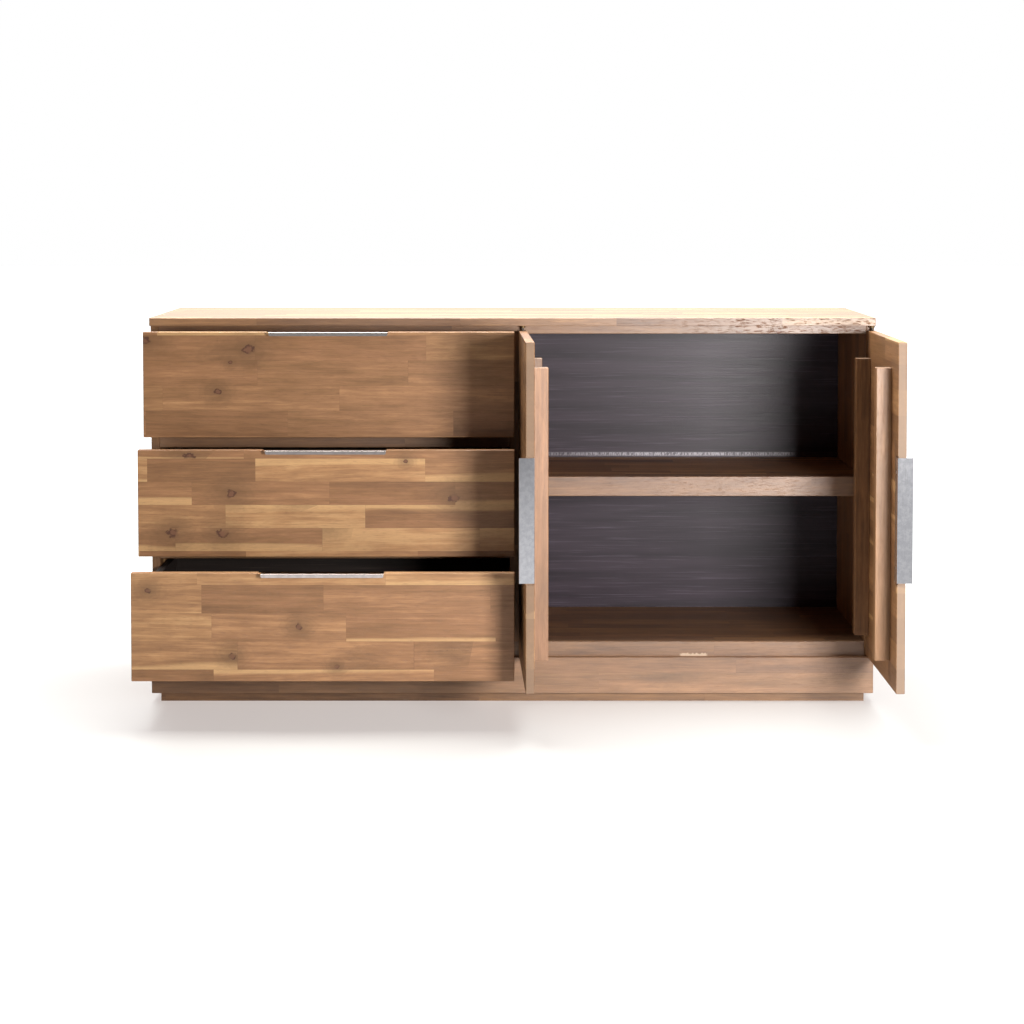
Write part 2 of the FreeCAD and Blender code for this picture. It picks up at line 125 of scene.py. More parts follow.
# Noise scales per metre: along the grain, across it and through the board
KNOT_SCALE = (6.0, 9.5, 2.0)
RING_SCALE = (1.7, 22.0, 22.0)
STREAK_SCALE = (6.5, 150.0, 150.0)
MOTTLE_SCALE = (16.0, 60.0, 60.0)
FIBRE_SCALE = (17.0, 760.0, 760.0)
PORE_SCALE = (70.0, 1700.0, 1700.0)
KNOT_OUTLINE_SCALE = 110.0
KNOT_BREAK_SCALE = 70.0
STAVE_STRETCH_SCALE = 2.6

# How far each pattern shifts a stave's tone
MOTTLE_SHIFT = 0.45
FIGURE_SHIFT = 0.7
STREAK_SHIFT = 0.68

# The largest share of each colour that is laid over the wood
SAP_SHARE = 0.76
RING_SHARE = 0.08
DARK_FIBRE_SHARE = 0.22
LIGHT_FIBRE_SHARE = 0.17
PORE_SHARE = 0.30
SMUDGE_SHARE = 0.48
KNOT_HEART_SHARE = 0.85
GLUE_SHARE = 0.30
END_GRAIN_AND_SHEEN_SHARE = 0.8
# A painted sheen on the right end of some fronts
RIGHT_END_SHEEN_SHARE = 0.35
WEATHERED_SHARE = 0.62
WORN_SHARE = 0.8

# Weathered specks and a pale painted sheen on the right end of the slab's and its rail's front,
# and a worn patch
SPECK_SCALE = (62.0, 330.0, 330.0)
SHEEN_AND_SPECK_START = 0.34
SHEEN_AND_SPECK_FULL = 0.50
WORN_OUTLINE_SCALE = 160.0
WORN_RAGGED = 0.010
WORN_SOLID = 0.8

# How a face has to lie, by its normal, to count as end grain, as upward or as the front
END_FACING = (0.75, 0.95)
UP_FACING = (0.8, 0.95)
FRONT_FACING = (-0.5, -0.9)

# What end grain, specks and upward faces add to the roughness
EDGING_ROUGHER = 0.20
SPECK_ROUGHER = 0.45
TOP_ROUGHER = 0.12

# Offsets that set rows and staves apart in the noise
ROW_STRIDE = 17.0
STRETCH_STRIDE = 60.0
LOG_STRIDE_ALONG = 31.0
LOG_STRIDE_ACROSS = 9.0

# How uneven staves are in length, and how far their wood slopes
STAVE_STRETCH = 0.9
STAVE_SLOPE = 0.05

# Knots, by distance in the units of the random ones: the bent grain, the knot and its heart
SWIRL_STEP = (0.55, 0.04)
KNOT_STEP = (0.094, 0.070)
HEART_STEP = (0.058, 0.034)
KNOT_BREAKS = (0.30, 0.55, 0.25, 0.92)
KNOT_RARITY = 0.88
KNOT_RAGGED = 0.14
GIVEN_KNOT_REACH = 0.085
GIVEN_KNOT_FLAT = 1.25
NO_KNOT = 1.0

# Growth rings: their number, how far knots bend them, and where a ring's colour shows
RING_COUNT = 46.0
RING_BEND = 0.40
RING_STEP = (-0.4, 1.0)

# Where the noise turns into a fibre, a pore or a speck
DARK_FIBRE_STEP = (0.50, 0.80)
LIGHT_FIBRE_STEP = (0.48, 0.22)
PORE_STEP = (0.66, 0.76)
SPECK_STEP = (0.53, 0.62)

# Sapwood: where it ends in a stave, and how far that waves and differs from stave to stave
SAP_STEP = (0.80, 0.68)
SAP_WAVE = 0.9
SAP_DEPTH = 0.25

# Half the width of a glue line, and the wood's gloss and relief
GLUE_LINE = 0.0005
WOOD_ROUGHNESS = 0.45
FIBRE_ROUGHER = 0.06
FIBRE_HEIGHT = 0.45
WOOD_IOR = 1.57
WOOD_BUMP = 0.00012

# Heartwood's colours, from the darkest tone to the palest
HEARTWOOD = [
    (0.00, colour(98, 67, 42)),
    (0.20, colour(122, 85, 54)),
    (0.45, colour(142, 101, 64)),
    (0.66, colour(158, 113, 76)),
    (0.84, colour(180, 132, 90)),
    (1.00, colour(198, 152, 107)),
]
SAPWOOD = colour(210, 166, 114)
RING = colour(94, 62, 39)
SMUDGE = colour(94, 66, 36)
KNOT = colour(80, 44, 26)
KNOT_HEART = colour(122, 80, 54)
# End grain, paled toward neutral in part as a painted sheen
END_GRAIN_AND_SHEEN = colour(138, 112, 90)
WEATHERED = colour(104, 60, 38)
# A pale neutral painted sheen for the right end of a front, where the light falls strongest
RIGHT_END_SHEEN = colour(150, 124, 106)
WORN = colour(214, 188, 160)
CAST_WARM = (1.01, 0.98, 0.97, 1.0)
CAST_GREEN = (0.98, 1.0, 0.93, 1.0)


def find_stave(g, given):
    """How far a point is through its row and its stave, and the stave's four random numbers."""
    along, seed = given["Along"], given["Seed"]
    rows = g.math("DIVIDE", given["Across"], given["Width"])
    row = g.math("FLOOR", rows)
    row_chance = g.white_noise("2D", Vector=g.vector(row, seed, 0.0)).outputs["Value"]
    stretch_at = g.vector(g.math("MULTIPLY", along, STAVE_STRETCH_SCALE),
                          g.math("MULTIPLY", row_chance, STRETCH_STRIDE), seed)
    stretch = g.noise(stretch_at, 1.0, detail=0.0)
    even = g.math("DIVIDE", along, given["Length"])
    lengths = g.math("MULTIPLY_ADD", stretch, STAVE_STRETCH, even)
    staves = g.math("MULTIPLY_ADD", row_chance, ROW_STRIDE, lengths)
    chances = g.white_noise("3D", Vector=g.vector(row, g.math("FLOOR", staves), seed))
    split = g.add("SeparateColor", {"Color": chances.outputs["Color"]})
    numbers = [chances.outputs["Value"], split.outputs[0], split.outputs[1], split.outputs[2]]
    return g.math("FRACT", rows), g.math("FRACT", staves), numbers


def knot_masks(g, in_log, given_knot):
    """Sparse knots at random, and those that a board is given.

    Gives how much a point lies in the bent grain, in the knot and in its heart.
    """
    knot_at = g.scaled(in_log, KNOT_SCALE)
    cells = g.add("TexVoronoi", {"Vector": knot_at, "Scale": 1.0, "Randomness": 1.0}, feature="F1")
    knot_pick = g.add("SeparateColor", {"Color": cells.outputs["Color"]}).outputs[0]
    no_knot = g.math("LESS_THAN", knot_pick, KNOT_RARITY)
    away = g.math("MINIMUM", g.math("ADD", cells.outputs["Distance"], no_knot), given_knot)
    outline = g.noise(g.vector(*in_log), KNOT_OUTLINE_SCALE)
    rough_away = g.math("MULTIPLY_ADD", outline, KNOT_RAGGED,
                        g.math("SUBTRACT", away, KNOT_RAGGED / 2))
    return [g.ramp(rough_away, *step) for step in (SWIRL_STEP, KNOT_STEP, HEART_STEP)]


def heartwood(g, tone, tone_chance):
    """The wood's colour for a tone, which is cast warmer in some staves and greener in others."""
    heart = g.add("ValToRGB", {"Fac": tone})
    stops = heart.color_ramp.elements
    for place, value in HEARTWOOD[1:-1]:
        stops.new(place).color = value
    stops[0].color = HEARTWOOD[0][1]
    stops[-1].color = HEARTWOOD[-1][1]
    cast = g.mix(tone_chance, CAST_WARM, CAST_GREEN)
    return g.mix(1.0, heart.outputs[0], cast, blend="MULTIPLY")


def sapwood_mask(g, sapwood, figure, in_row, sap_chance, slope_chance):
    """Pale sapwood along the upper or the lower edge of a share of the staves."""
    upper_edge = g.math("LESS_THAN", sap_chance, g.math("MULTIPLY", sapwood, 0.5))
    turned = g.math("MULTIPLY", upper_edge, g.math("MULTIPLY_ADD", in_row, -2.0, 1.0))
    from_edge = g.math("ADD", in_row, turned)
    depth = g.math("MULTIPLY_ADD", slope_chance, SAP_DEPTH, from_edge)
    reach = g.math("MULTIPLY_ADD", figure, SAP_WAVE, depth)
    has_sap = g.math("LESS_THAN", sap_chance, sapwood)
    return g.math("MULTIPLY", g.ramp(reach, *SAP_STEP), has_sap)


def glue_lines(g, given, in_row, in_stave):
    """The thin lines between rows and between the ends of staves."""
    to_side = g.math("MINIMUM", in_row, g.math("SUBTRACT", 1.0, in_row))
    to_end = g.math("MINIMUM", in_stave, g.math("SUBTRACT", 1.0, in_stave))
    nearest = g.math("MINIMUM", g.math("MULTIPLY", to_side, given["Width"]),
                     g.math("MULTIPLY", to_end, given["Length"]))
    return g.ramp(nearest, GLUE_LINE, 0.0)


def make_acacia():
    """Build the shared node group: a board of staves from a place along, across and through it."""
    tree = bpy.data.node_groups.new("acacia_staves", "ShaderNodeTree")
    for name in ("Along", "Across", "Through", "Width", "Length", "Seed", "Contrast", "Sapwood",
                 "Tone", "Knot"):
        tree.interface.new_socket(name=name, in_out="INPUT", socket_type="NodeSocketFloat")
    for name, kind in (("Color", "Color"), ("Roughness", "Float"), ("Height", "Float")):
        tree.interface.new_socket(name=name, in_out="OUTPUT", socket_type=f"NodeSocket{kind}")
    g = Graph(tree)
    given = tree.nodes.new("NodeGroupInput").outputs
    in_row, in_stave, numbers = find_stave(g, given)
    chance, tone_chance, sap_chance, slope_chance = numbers

    # The wood inside a stave runs at its own slight slope and has its own place in the log
    slope = g.math("MULTIPLY", g.math("SUBTRACT", slope_chance, 0.5), STAVE_SLOPE)
    sloped = g.math("MULTIPLY_ADD", given["Along"], slope, given["Across"])
    in_log = (g.math("MULTIPLY_ADD", chance, LOG_STRIDE_ALONG, given["Along"]),
              g.math("MULTIPLY_ADD", tone_chance, LOG_STRIDE_ACROSS, sloped),
              g.math("ADD", given["Through"], slope_chance))

    # Knots, growth rings that bend round them, and soft streaks
    swirl, knot, knot_heart = knot_masks(g, in_log, given["Knot"])
    broken = g.noise(g.vector(*in_log), KNOT_BREAK_SCALE, detail=0.0)
    figure = g.noise(g.scaled(in_log, RING_SCALE), 1.0, roughness=0.45, distortion=0.2)
    bent = g.math("MULTIPLY_ADD", swirl, RING_BEND, figure)
    ring = g.ramp(g.math("SINE", g.math("MULTIPLY", bent, RING_COUNT)), *RING_STEP)
    streak = g.noise(g.scaled(in_log, STREAK_SCALE), 1.0, detail=3.0, roughness=0.6)
    mottle = g.noise(g.scaled(in_log, MOTTLE_SCALE), 1.0, distortion=0.5)

    # Fine fibres and pores
    fibre = g.noise(g.scaled(in_log, FIBRE_SCALE), 1.0, roughness=0.62)
    dark_fibre = g.ramp(fibre, *DARK_FIBRE_STEP)
    light_fibre = g.ramp(fibre, *LIGHT_FIBRE_STEP)
    pore = g.ramp(g.noise(g.scaled(in_log, PORE_SCALE), 1.0, detail=0.0), *PORE_STEP)

    # Colour: a tone for each stave, then all else laid over it
    tone = g.math("MULTIPLY_ADD", g.math("SUBTRACT", chance, 0.5), given["Contrast"],
                  given["Tone"])
    for pattern, shift in ((mottle, MOTTLE_SHIFT), (figure, FIGURE_SHIFT), (streak, STREAK_SHIFT)):
        tone = g.math("MULTIPLY_ADD", g.math("SUBTRACT", pattern, 0.5), shift, tone)
    wood = heartwood(g, tone, tone_chance)
    sap = sapwood_mask(g, given["Sapwood"], figure, in_row, sap_chance, slope_chance)
    wood = g.blend_over(sap, SAP_SHARE, wood, SAPWOOD)
    wood = g.blend_over(ring, RING_SHARE, wood, RING)
    wood = g.blend_over(dark_fibre, DARK_FIBRE_SHARE, wood, RING)
    wood = g.blend_over(light_fibre, LIGHT_FIBRE_SHARE, wood, SAPWOOD)
    wood = g.blend_over(pore, PORE_SHARE, wood, RING)
    wood = g.blend_over(swirl, SMUDGE_SHARE, wood, SMUDGE)
    wood = g.blend_over(knot, g.ramp(broken, *KNOT_BREAKS), wood, KNOT)
    wood = g.blend_over(knot_heart, KNOT_HEART_SHARE, wood, KNOT_HEART)
    wood = g.blend_over(glue_lines(g, given, in_row, in_stave), GLUE_SHARE, wood, RING)

    rough = g.math("MULTIPLY_ADD", dark_fibre, FIBRE_ROUGHER, WOOD_ROUGHNESS)
    height = g.math("SUBTRACT", g.math("MULTIPLY", fibre, FIBRE_HEIGHT), pore)
    given_back = tree.nodes.new("NodeGroupOutput").inputs
    g.feed(given_back["Color"], wood)
    g.feed(given_back["Roughness"], rough)
    g.feed(given_back["Height"], height)
    return tree


ACACIA = make_acacia()


def knot_distance(graph, along, across, knots):
    """How far a point is from the nearest given knot, in the units of the random knots."""
    nearest = NO_KNOT
    for knot_along, knot_across, size in knots:
        off_along = graph.math("SUBTRACT", along, knot_along)
        off_across = graph.math("SUBTRACT", across, knot_across)
        off = graph.vector(off_along, graph.math("MULTIPLY", off_across, GIVEN_KNOT_FLAT), 0.0)
        away = graph.add("VectorMath", {0: off}, operation="LENGTH").outputs["Value"]
        in_units = graph.math("MULTIPLY", away, GIVEN_KNOT_REACH / size)
        nearest = graph.math("MINIMUM", in_units, nearest)
    return nearest


def sheen_and_speck(graph, axes, facing, wood):
    """Pale the right end of a board's front with a painted sheen and speck it. Gives the colour
    and the specks.
    """
    speck_at = graph.scaled(axes.values(), SPECK_SCALE)
    speck = graph.ramp(graph.noise(speck_at, 1.0, detail=4.0, roughness=0.7), *SPECK_STEP)
    reach = graph.math("MULTIPLY", graph.ramp(axes["X"], SHEEN_AND_SPECK_START, SHEEN_AND_SPECK_FULL),
                       graph.ramp(facing["Y"], *FRONT_FACING))
    sheened = graph.blend_over(reach, RIGHT_END_SHEEN_SHARE, wood, RIGHT_END_SHEEN)
    specks = graph.math("MULTIPLY", speck, reach)
    return graph.blend_over(specks, WEATHERED_SHARE, sheened, WEATHERED), specks


def wear(graph, place, axes, worn, wood):
    """Lay a small pale patch with a ragged upper edge over the wood."""
    worn_x, worn_z, half_length, height = worn
    sideways = graph.math("ABSOLUTE", graph.math("SUBTRACT", axes["X"], worn_x))
    ragged = graph.math("MULTIPLY_ADD", graph.noise(place, WORN_OUTLINE_SCALE), WORN_RAGGED,
                        graph.math("SUBTRACT", axes["Z"], WORN_RAGGED / 2))
    patch = graph.math("MULTIPLY", graph.ramp(sideways, half_length, half_length * WORN_SOLID),
                       graph.ramp(ragged, worn_z + height, worn_z))
    return graph.blend_over(patch, WORN_SHARE, wood, WORN)


def acacia(name, grain, across, look, seed, knots=(), sheen_and_specks=False, worn=None, edge=END_GRAIN_AND_SHEEN):
    """An oiled board whose grain and width run along two named axes."""
    material, graph, shader = new_material(name)
    coordinates = graph.add("TexCoord").outputs
    axes = graph.split(coordinates["Object"])
    facing = graph.split(coordinates["Normal"])
    through = next(axis for axis in "XYZ" if axis not in (grain, across))
    width, length, first_row, contrast, sapwood, tone, sheen = look
    board = graph.add("Group", node_tree=ACACIA)
    for socket, value in (("Along", axes[grain]), ("Through", axes[through]),
                          ("Across", graph.math("SUBTRACT", axes[across], first_row)),
                          ("Width", width), ("Length", length), ("Seed", seed),
                          ("Contrast", contrast), ("Sapwood", sapwood), ("Tone", tone),
                          ("Knot", knot_distance(graph, axes[grain], axes[across], knots))):
        graph.feed(board.inputs[socket], value)
    edging = graph.ramp(graph.math("ABSOLUTE", facing[grain]), *END_FACING)
    wood = graph.blend_over(edging, END_GRAIN_AND_SHEEN_SHARE, board.outputs["Color"], edge)
    rough = graph.math("MULTIPLY_ADD", edging, EDGING_ROUGHER, board.outputs["Roughness"])
    if sheen_and_specks:
        wood, specks = sheen_and_speck(graph, axes, facing, wood)
        rough = graph.math("MULTIPLY_ADD", specks, SPECK_ROUGHER, rough)
    if worn:
        wood = wear(graph, coordinates["Object"], axes, worn, wood)
    rough = graph.math("ADD", rough, graph.ramp(facing["Z"], *UP_FACING, 0.0, TOP_ROUGHER))
    graph.feed(shader.inputs["Base Color"], wood)
    graph.feed(shader.inputs["Roughness"], rough)
    shader.inputs["Specular IOR Level"].default_value = sheen
    shader.inputs["IOR"].default_value = WOOD_IOR
    bump(graph, shader, board.outputs["Height"], WOOD_BUMP)
    return material


# Charcoal boards, and the darker ones of the drawers, darkened in part as painted shade

# The printed grain and its bands, with noise scales per metre along, across and through
PRINT_SCALE = (6.0, 260.0, 260.0)
PRINT_STEP = (0.52, 0.75)
PRINT_SHARE = 0.55
PRINT_ROUGHER = 0.20
BAND_SCALE = (1.6, 34.0, 1.0)
BAND_STEP = (0.3, 0.7)
CHARCOAL_SHEEN = 0.35
CHARCOAL_BUMP = 0.0002

# The scuffs: their ragged edge, how they break up and how they fade along the board. Their
# rise toward the right is painted light, brighter where the light falls stronger
TEETH_SCALE = (420.0, 90.0, 0.0)
TEETH_DEPTH = 0.004
SCUFF_BREAKS = (0.40, 0.58, 0.25, 1.0)
SCUFF_SOLID = 0.5
SCUFF_PAINTED_RISE = 0.25
SCUFF_FADE_OUT = 0.04
SCUFF_PAINTED_DIM = 0.35
SCUFF_SHARE = 0.9
SCUFF = colour(196, 192, 200)

# colours: (deep, pale, line)
CHARCOAL = (colour(40, 31, 40), colour(61, 50, 61), colour(98, 86, 101))
# The drawers' boards, darker in part as painted shade for their insides
DARK_BROWN_AND_SHADE = (colour(36, 28, 25), colour(54, 44, 40), colour(88, 76, 69))


def scuff_marks(graph, in_board, outward, scuffed):
    """Ragged marks along a level of a board, on its front alone, brightening toward the right as
    painted light.
    """
    level, half_height, start, end = scuffed
    along, across = in_board[:2]
    teeth = graph.noise(graph.scaled(in_board, TEETH_SCALE), 1.0, detail=1.0)
    off = graph.math("ABSOLUTE", graph.math("SUBTRACT", across, level))
    ragged = graph.math("MULTIPLY_ADD", teeth, TEETH_DEPTH,
                        graph.math("SUBTRACT", off, TEETH_DEPTH / 2))
    marks = graph.ramp(ragged, half_height, half_height * SCUFF_SOLID)
    # Painted light: the marks grow brighter toward the right
    painted_rise = graph.ramp(along, start, start + SCUFF_PAINTED_RISE, SCUFF_PAINTED_DIM, 1.0)
    not_ended = graph.ramp(along, end, end - SCUFF_FADE_OUT)
    broken = graph.ramp(teeth, *SCUFF_BREAKS)
    front = graph.ramp(outward, *FRONT_FACING)
    for share in (painted_rise, not_ended, broken, front):
        marks = graph.math("MULTIPLY", marks, share)
    return marks


def charcoal(name, grain, across, colours, roughness, scuffed=None):
    """A dark board printed with a fine straight grain, and scuffed along a line if asked."""
    deep, pale, line = colours
    material, graph, shader = new_material(name)
    coordinates = graph.add("TexCoord").outputs
    axes = graph.split(coordinates["Object"])
    through = next(axis for axis in "XYZ" if axis not in (grain, across))
    in_board = (axes[grain], axes[across], axes[through])
    streak_at = graph.scaled(in_board, PRINT_SCALE)
    streak = graph.noise(streak_at, 1.0, detail=4.0, roughness=0.6, distortion=0.3)
    band = graph.noise(graph.scaled(in_board, BAND_SCALE), 1.0)
    dark = graph.mix(graph.ramp(band, *BAND_STEP), deep, pale)
    lit = graph.blend_over(graph.ramp(streak, *PRINT_STEP), PRINT_SHARE, dark, line)
    if scuffed:
        outward = graph.split(coordinates["Normal"])[through]
        marks = scuff_marks(graph, in_board, outward, scuffed)
        lit = graph.blend_over(marks, SCUFF_SHARE, lit, SCUFF)
    rough = graph.math("MULTIPLY_ADD", streak, PRINT_ROUGHER, roughness)
    graph.feed(shader.inputs["Base Color"], lit)
    graph.feed(shader.inputs["Roughness"], rough)
    shader.inputs["Specular IOR Level"].default_value = CHARCOAL_SHEEN
    bump(graph, shader, streak, CHARCOAL_BUMP)
    return material


# Brushed handles, small turned hardware and the runners' hardwood

# Noise scales per metre along the lines or fibres, and in both directions across them
BRUSHED_SCALES = (30.0, 2600.0)
RUNNER_SCALES = (9.0, 420.0)
BLOTCH_SCALE = 90.0
GRIME_SCALE = 700.0

BLOTCH_STEP = (0.36, 0.66)
BRUSHED_STEP = (0.55, 0.75)
BRUSHED_LINE = colour(170, 168, 170)
BRUSHED_SHARE = 0.35
BRUSHED_ROUGHNESS = 0.06
BLOTCH_ROUGHER = 0.03
BRUSHED_BUMP = 0.00001
GRIME = colour(96, 90, 82)
GRIME_STEP = (0.4, 0.75)
GRIME_ROUGHER = 0.2
GRIME_BUMP = 0.00005

# The drawers' and the doors' brushed metal, dull and bright, and the hardware with its roughness
DRAWER_METAL = (colour(208, 198, 194), colour(220, 210, 206))
DOOR_METAL = (colour(202, 202, 207), colour(214, 214, 218))
SCREW_STEEL = (colour(198, 198, 200), 0.28)
PIVOT_STEEL = (colour(112, 106, 98), 0.50)
BUSH_BRASS = (colour(126, 104, 70), 0.50)

RUNNER_PALE = colour(196, 152, 104)
RUNNER_DARK = colour(158, 112, 72)
RUNNER_STEP = (0.3, 0.7)
RUNNER_ROUGHNESS = 0.48
RUNNER_ROUGHER = 0.15
RUNNER_BUMP = 0.0002


def along_axis(graph, name, scales):
    """A point stretched along one named axis."""
    along, across = scales
    place = graph.add("TexCoord").outputs["Object"]
    axes = graph.split(place)
    return graph.scaled(axes.values(), (along if axis == name else across for axis in axes))


def brushed_metal(name, grain, dull, bright):
    """Brushed aluminium with fine lines along one axis and faint blotches."""
    material, graph, shader = new_material(name)
    lines = graph.noise(along_axis(graph, grain, BRUSHED_SCALES), 1.0, roughness=0.6)
    place = graph.add("TexCoord").outputs["Object"]
    blotch = graph.noise(place, BLOTCH_SCALE, detail=4.0, roughness=0.62)
    clean = graph.mix(graph.ramp(blotch, *BLOTCH_STEP), dull, bright)
    line = graph.ramp(lines, *BRUSHED_STEP)
    brushed = graph.blend_over(line, BRUSHED_SHARE, clean, BRUSHED_LINE)
    graph.feed(shader.inputs["Base Color"], brushed)
    shader.inputs["Metallic"].default_value = 1.0
    rough = graph.math("MULTIPLY_ADD", blotch, BLOTCH_ROUGHER, BRUSHED_ROUGHNESS)
    graph.feed(shader.inputs["Roughness"], rough)
    bump(graph, shader, lines, BRUSHED_BUMP)
    return material


def turned_metal(name, base, roughness):
    """Small plain hardware: screws, pins and bushes."""
    material, graph, shader = new_material(name)
    place = graph.add("TexCoord").outputs["Object"]
    grime = graph.noise(place, GRIME_SCALE, detail=3.0)
    worn = graph.mix(graph.ramp(grime, *GRIME_STEP), base, GRIME)
    graph.feed(shader.inputs["Base Color"], worn)
    shader.inputs["Metallic"].default_value = 1.0
    rough = graph.math("MULTIPLY_ADD", grime, GRIME_ROUGHER, roughness)
    graph.feed(shader.inputs["Roughness"], rough)
    bump(graph, shader, grime, GRIME_BUMP)
    return material


def hardwood(name, grain):
    """Plain pale hardwood for the drawer runners."""
    material, graph, shader = new_material(name)
    fibre = graph.noise(along_axis(graph, grain, RUNNER_SCALES), 1.0, detail=3.0, roughness=0.6)
    wood = graph.mix(graph.ramp(fibre, *RUNNER_STEP), RUNNER_PALE, RUNNER_DARK)
    graph.feed(shader.inputs["Base Color"], wood)
    rough = graph.math("MULTIPLY_ADD", fibre, RUNNER_ROUGHER, RUNNER_ROUGHNESS)
    graph.feed(shader.inputs["Roughness"], rough)
    bump(graph, shader, fibre, RUNNER_BUMP)
    return material


# Which finish each node gets

# look: (stave width, stave length, where a row starts, contrast, share with sapwood, tone,
#        sheen)
TOP = (0.052, 0.36, 0.0, 0.40, 0.25, 0.48, 1.0)
SIDE = (0.052, 0.36, 0.0, 0.45, 0.30, 0.50, 0.6)
# The right side is a darker copy of the sides, painted shade for its inner face in the right
# door's shadow
SHADE_PAINTED_SIDE = (0.052, 0.36, 0.0, 0.40, 0.22, 0.36, 0.4)
BOTTOM = (0.052, 0.36, 0.0, 0.30, 0.0, 0.14, 0.6)
SOLID = (1.0, 0.75, -0.5, 0.18, 0.0, 0.35, 1.0)
SKIRT = (0.046, 0.80, 0.021, 0.28, 0.0, 0.46, 1.0)
PLINTH = (0.046, 0.60, 0.021, 0.30, 0.0, 0.20, 0.7)
# The door battens are lit and shaded copies: the right hinge batten's darker tone is painted
# shade, the handle battens' paler tones are painted light
SHADE_PAINTED_BATTEN = (1.0, 1.3, -0.5, 0.20, 0.0, 0.20, 0.3)
LIGHT_PAINTED_BATTEN = (1.0, 1.3, -0.5, 0.20, 0.0, 0.54, 0.6)
BRIGHT_PAINTED_BATTEN = (1.0, 1.3, -0.5, 0.20, 0.0, 0.80, 1.0)
UPPER = (0.0545, 0.34, 0.6582, 0.20, 0.12, 0.61, 0.5)
MIDDLE = (0.0497, 0.32, 0.4640, 0.46, 0.70, 0.68, 0.5)
LOWER = (0.0595, 0.34, 0.1300, 0.42, 0.50, 0.67, 0.6)
DOOR = (0.052, 0.34, 0.0, 0.45, 0.30, 0.50, 0.5)
BOARDS = {
    # node: (grain, across, look)
    "top_panel": ("X", "Y", TOP),
    "left_side_panel": ("Z", "Y", SIDE),
    "right_side_panel": ("Z", "Y", SHADE_PAINTED_SIDE),
    "front_top_rail": ("X", "Z", SOLID),
    "back_top_rail": ("X", "Y", SOLID),
    "lower_drawer_rail": ("X", "Z", SOLID),
    "upper_drawer_rail": ("X", "Z", SOLID),
    "base_front_rail": ("X", "Z", SOLID),
    "base_panel": ("X", "Y", BOTTOM),
    "centre_partition": ("Z", "Y", SIDE),
    "shelf_board": ("X", "Y", SIDE),
    "shelf_front_lipping": ("X", "Z", SOLID),
    "shelf_cleats": ("Y", "Z", SOLID),
    "plinth_front": ("X", "Z", PLINTH),
    "plinth_back": ("X", "Z", SOLID),
    "plinth_left": ("Y", "Z", SOLID),
    "plinth_right": ("Y", "Z", SOLID),
    "plinth_cross_rail": ("Y", "Z", SOLID),
    "skirt_front": ("X", "Z", SKIRT),
    "upper_drawer_front": ("X", "Z", UPPER),
    "middle_drawer_front": ("X", "Z", MIDDLE),
    "lower_drawer_front": ("X", "Z", LOWER),
    "left_door_panel": ("Y", "Z", DOOR),
    "right_door_panel": ("Y", "Z", DOOR),
    "left_door_hinge_batten": ("Z", "Y", SOLID),
    "left_door_handle_batten": ("Z", "Y", BRIGHT_PAINTED_BATTEN),
    "right_door_hinge_batten": ("Z", "Y", SHADE_PAINTED_BATTEN),
    "right_door_handle_batten": ("Z", "Y", LIGHT_PAINTED_BATTEN),
}
FIRST_SEED = 1.3
SEED_STEP = 1.7
SEEDS = {"upper_drawer_front": 5.4, "middle_drawer_front": 21.8, "lower_drawer_front": 22.4}
KNOTS = {
    # node: places along and across the board, and the knot's radius
    "upper_drawer_front": ((-0.572, 0.791, 0.013), (-0.611, 0.763, 0.005), (-0.639, 0.699, 0.008)),
    "middle_drawer_front": ((-0.724, 0.404, 0.013), (-0.620, 0.402, 0.012), (-0.125, 0.479, 0.012),
                            (-0.600, 0.487, 0.011), (-0.228, 0.558, 0.005)),
    "lower_drawer_front": ((-0.764, 0.297, 0.007), (-0.587, 0.159, 0.008), (-0.448, 0.221, 0.008),
                           (-0.369, 0.136, 0.006)),
    "front_top_rail": ((0.503, 0.822, 0.005), (0.589, 0.822, 0.006)),
}
# The right door's edges are paler still, a painted highlight where the light falls on them
EDGE_HIGHLIGHTS = {"right_door_panel": colour(152, 129, 110)}
# Boards whose front gets weathered specks and a painted sheen at its right end
SHEENED_AND_SPECKED_ENDS = ("top_panel", "front_top_rail")
# node: the worn patch's place along, its lower edge, half its length and its height
WORN_PATCHES = {"base_front_rail": (0.403, 0.104, 0.033, 0.004)}
# the scuffs' level, half their height, and where they start and end along the back
SHELF_SCUFFS = (0.5035, 0.006, 0.08, 0.69)
BACK_ROUGHNESS = 0.29
DRAWER_ROUGHNESS = 0.50
DRAWERS = ("upper", "middle", "lower")
DOORS = ("left", "right")


def dress(node, material):
    """Give a CAD node its finish."""
    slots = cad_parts[node].data.materials
    slots.clear()
    slots.append(material)


